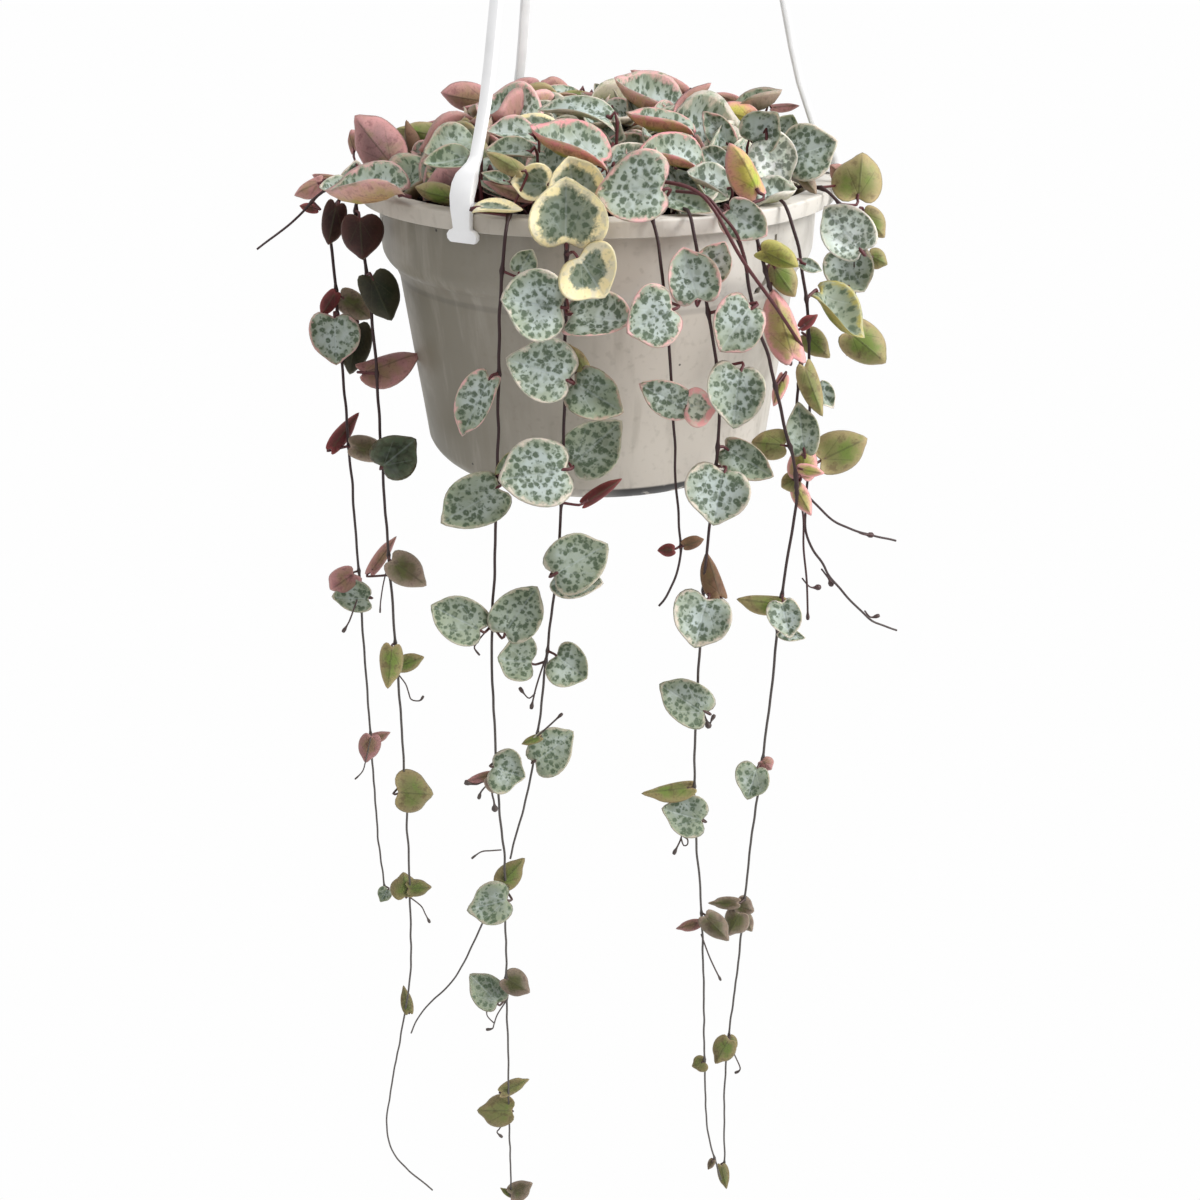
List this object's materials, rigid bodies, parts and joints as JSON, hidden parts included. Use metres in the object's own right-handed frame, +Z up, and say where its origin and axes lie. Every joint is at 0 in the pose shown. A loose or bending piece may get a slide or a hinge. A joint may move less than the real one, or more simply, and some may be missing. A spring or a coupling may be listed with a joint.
{
  "type": "potted trailing plant",
  "caption": "Trailing plant with small heart-shaped variegated leaves on thin hanging stems, in a round plastic hanging pot with a clip-on hanger.",
  "frame": {"origin": "inside crown of the hanger's hook, on the pot's axis, which is the point that it hangs from", "axes": "+Z up along the pot's axis; the stems trail over the front of the rim, towards -Y; +X to the right seen from the front"},
  "size_m": [0.2037, 0.1677, 0.7318],
  "materials": {
    "pot_plastic": "thin off-white nursery plastic, slightly see-through and faintly speckled and smudged",
    "hanger_plastic": "smooth white moulded plastic",
    "soil_mix": "dark crumbly potting soil",
    "stem_skin": "thin dark purple-brown to grey stems",
    "leaf_skin": "fleshy silver-mint leaves with dark green marks, cream or pink margins and mauve undersides"
  },
  "bodies": {
    "root": {"pot": "pot_plastic", "soil": "soil_mix", "hanger": "hanger_plastic", "stem_left_outer": "stem_skin", "stem_left_inner": "stem_skin", "stem_centre_left": "stem_skin", "stem_centre": "stem_skin", "stem_centre_right": "stem_skin", "stem_right_inner": "stem_skin", "stem_right": "stem_skin", "stem_right_side": "stem_skin", "stem_far_right": "stem_skin", "shoot_far_left": "stem_skin", "shoot_low": "stem_skin", "leaf_wing": "leaf_skin", "leaf_mauve_side": "leaf_skin", "leaf_silver_left": "leaf_skin", "leaf_shade_left": "leaf_skin", "leaf_dark_left": "leaf_skin", "leaf_olive_left": "leaf_skin", "leaf_olive_low": "leaf_skin", "leaf_mauve_back": "leaf_skin", "leaf_tip_down": "leaf_skin", "leaf_base_left": "leaf_skin", "leaf_pair_left": "leaf_skin", "leaf_pair_right": "leaf_skin", "leaf_low_left": "leaf_skin", "leaf_silver_long": "leaf_skin", "leaf_lilac": "leaf_skin", "leaf_cream_top": "leaf_skin", "leaf_cream_right": "leaf_skin", "leaf_cream_left": "leaf_skin", "leaf_pink_under": "leaf_skin", "leaf_mint_mid": "leaf_skin", "leaf_grey_tip": "leaf_skin", "leaf_mint_low": "leaf_skin", "leaf_tip_up": "leaf_skin", "leaf_twin_top": "leaf_skin", "leaf_twin_low": "leaf_skin", "leaf_crown_top": "leaf_skin", "leaf_two_lobed": "leaf_skin", "leaf_front_right": "leaf_skin", "leaf_notch_down": "leaf_skin", "leaf_orange_top": "leaf_skin", "leaf_white_low": "leaf_skin", "leaf_heart_down": "leaf_skin", "leaf_mint_heart": "leaf_skin", "leaf_tip_left": "leaf_skin", "leaf_crown_right": "leaf_skin", "leaf_pale_round": "leaf_skin", "leaf_fold_upright": "leaf_skin", "leaf_spotted_front": "leaf_skin", "leaf_olive_right": "leaf_skin", "leaf_pink_long": "leaf_skin", "leaf_olive_crown": "leaf_skin", "leaf_heart_right": "leaf_skin", "leaf_heart_low": "leaf_skin", "leaf_yellow_edge": "leaf_skin", "leaf_olive_tip": "leaf_skin"}
  },
  "joints": []
}
